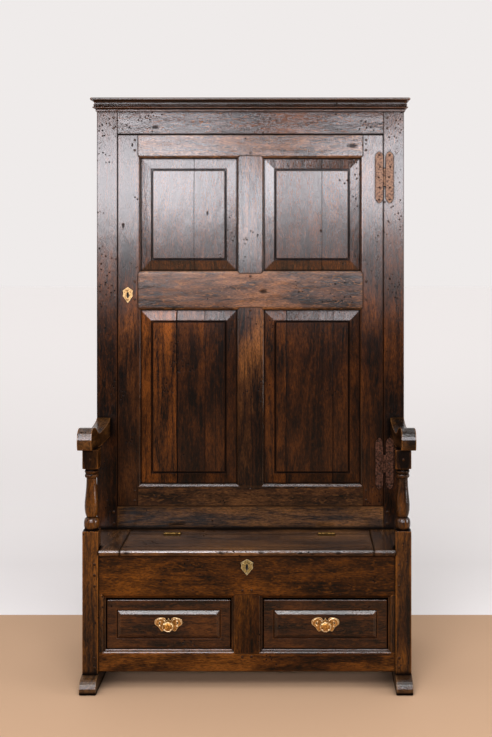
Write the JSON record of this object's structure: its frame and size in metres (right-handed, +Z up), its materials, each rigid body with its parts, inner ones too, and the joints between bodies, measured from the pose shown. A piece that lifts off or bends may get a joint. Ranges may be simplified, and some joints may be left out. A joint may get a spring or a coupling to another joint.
{
  "type": "settle bench",
  "caption": "High-backed oak settle: box seat with lifting lid, drawers, open arms on turned posts, sledge feet and a cupboard with a panelled door as its back.",
  "frame": {"origin": "on the floor, in the middle of the overall width and depth", "axes": "+Z up, -Y out of the front, +X to the right of someone who looks at the front"},
  "size_m": [1.128, 0.6, 1.985],
  "materials": {
    "oak_dark": "old dark oak, waxed to a gloss",
    "oak_pale": "dry unpolished oak inside",
    "wrought_iron": "hand wrought iron, rusty brown",
    "brass": "worn old brass",
    "brass_dull": "tarnished old brass",
    "lock_iron": "dark sheet iron"
  },
  "bodies": {
    "carcass": {"sledge_foot_left": "oak_dark", "sledge_foot_right": "oak_dark", "front_post_left": "oak_dark", "front_post_right": "oak_dark", "seat_rail": "oak_dark", "lower_rail": "oak_dark", "drawer_muntin": "oak_dark", "seat_end_left": "oak_dark", "seat_end_right": "oak_dark", "seat_box_floor": "oak_pale", "base_board": "oak_pale", "drawer_divider": "oak_pale", "seat_side_left": "oak_dark", "seat_side_right": "oak_dark", "side_board_left": "oak_dark", "side_board_right": "oak_dark", "cupboard_stile_left": "oak_dark", "cupboard_stile_right": "oak_dark", "back_board": "oak_dark", "top_board": "oak_dark", "top_rail": "oak_dark", "bottom_rail": "oak_dark", "cupboard_floor": "oak_pale", "cornice_front": "oak_dark", "cornice_left": "oak_dark", "cornice_right": "oak_dark", "arm_left": "oak_dark", "arm_right": "oak_dark", "seat_back_strip": "oak_dark", "lid_hinge_fixed_left": "brass", "lid_hinge_fixed_right": "brass", "seat_escutcheon": "brass_dull", "seat_lock_case": "lock_iron", "door_hinge_fixed_upper": "wrought_iron", "door_hinge_fixed_lower": "wrought_iron"},
    "lid": {"seat_lid": "oak_dark", "lid_hinge_leaf_left": "brass", "lid_hinge_leaf_right": "brass"},
    "door": {"door_lock_stile": "oak_dark", "door_hinge_stile": "oak_dark", "door_bottom_rail": "oak_dark", "door_lock_rail": "oak_dark", "door_top_rail": "oak_dark", "door_muntin_lower": "oak_dark", "door_muntin_upper": "oak_dark", "door_panel_upper_left": "oak_dark", "door_panel_upper_right": "oak_dark", "door_panel_lower_left": "oak_dark", "door_panel_lower_right": "oak_dark", "door_hinge_leaf_upper": "wrought_iron", "door_hinge_leaf_lower": "wrought_iron", "door_escutcheon": "brass", "door_lock_case": "lock_iron"},
    "lock_bolt": {"door_lock_bolt": "lock_iron"},
    "drawer_left": {"drawer_front_left": "oak_dark", "drawer_box_left": "oak_pale", "drawer_pull_left": "brass"},
    "drawer_right": {"drawer_front_right": "oak_dark", "drawer_box_right": "oak_pale", "drawer_pull_right": "brass"}
  },
  "joints": [
    {"name": "door_swing", "type": "hinge", "parent": "carcass", "child": "door", "pos_m": [0.474, 0.0305, 1.198], "axis": [0, 0, 1], "range_deg": [0, 92]},
    {"name": "lid_lift", "type": "hinge", "parent": "carcass", "child": "lid", "pos_m": [0, -0.035, 0.462], "axis": [-1, 0, 0], "range_deg": [0, 105]},
    {"name": "drawer_left_slide", "type": "slide", "parent": "carcass", "child": "drawer_left", "axis": [0, -1, 0], "range_m": [0, 0.38]},
    {"name": "drawer_right_slide", "type": "slide", "parent": "carcass", "child": "drawer_right", "axis": [0, -1, 0], "range_m": [0, 0.38]},
    {"name": "lock_bolt_throw", "type": "slide", "parent": "door", "child": "lock_bolt", "axis": [-1, 0, 0], "range_m": [0, 0.012]}
  ]
}
